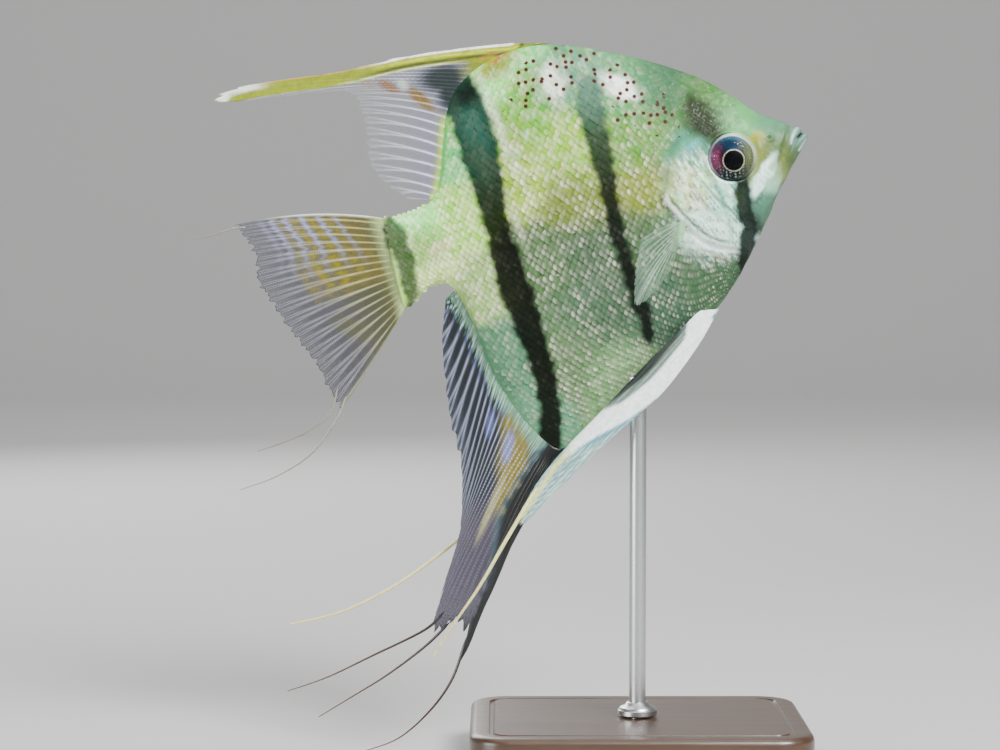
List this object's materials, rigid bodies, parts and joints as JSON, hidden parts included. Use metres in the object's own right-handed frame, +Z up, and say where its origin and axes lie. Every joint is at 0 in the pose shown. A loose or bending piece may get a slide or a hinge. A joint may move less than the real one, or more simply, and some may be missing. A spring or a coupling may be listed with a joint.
{
  "type": "freshwater angelfish museum model",
  "caption": "Life-size still model of a deep, flat cichlid with long trailing fins and dark bars, held by a rod over a flat wooden base.",
  "frame": {"origin": "middle of the underside of the stand's base", "axes": "+Z up, +X the way the fish faces, its right flank towards -Y"},
  "size_m": [0.109, 0.046, 0.1283],
  "materials": {
    "skin": "painted scales with a wet sheen",
    "fin": "thin translucent membrane over rays",
    "pelvic": "pearly white",
    "eye": "glossy, with a pale ring and a red arc",
    "wood": "dark satin varnish",
    "steel": "brushed"
  },
  "bodies": {
    "root": {"head": "skin", "trunk": "skin", "tail_stalk": "skin", "upper_jaw": "skin", "lower_jaw": "skin", "gill_cover_right": "skin", "gill_cover_left": "skin", "dorsal_fin": "fin", "anal_fin": "fin", "caudal_fin": "fin", "pelvic_fin_right": "pelvic", "pelvic_fin_left": "pelvic", "pectoral_fin_right": "fin", "pectoral_fin_left": "fin", "eye_right": "eye", "eye_left": "eye", "stand_base": "wood", "stand_collar": "steel", "stand_rod": "steel", "stand_cradle": "steel"}
  },
  "joints": []
}
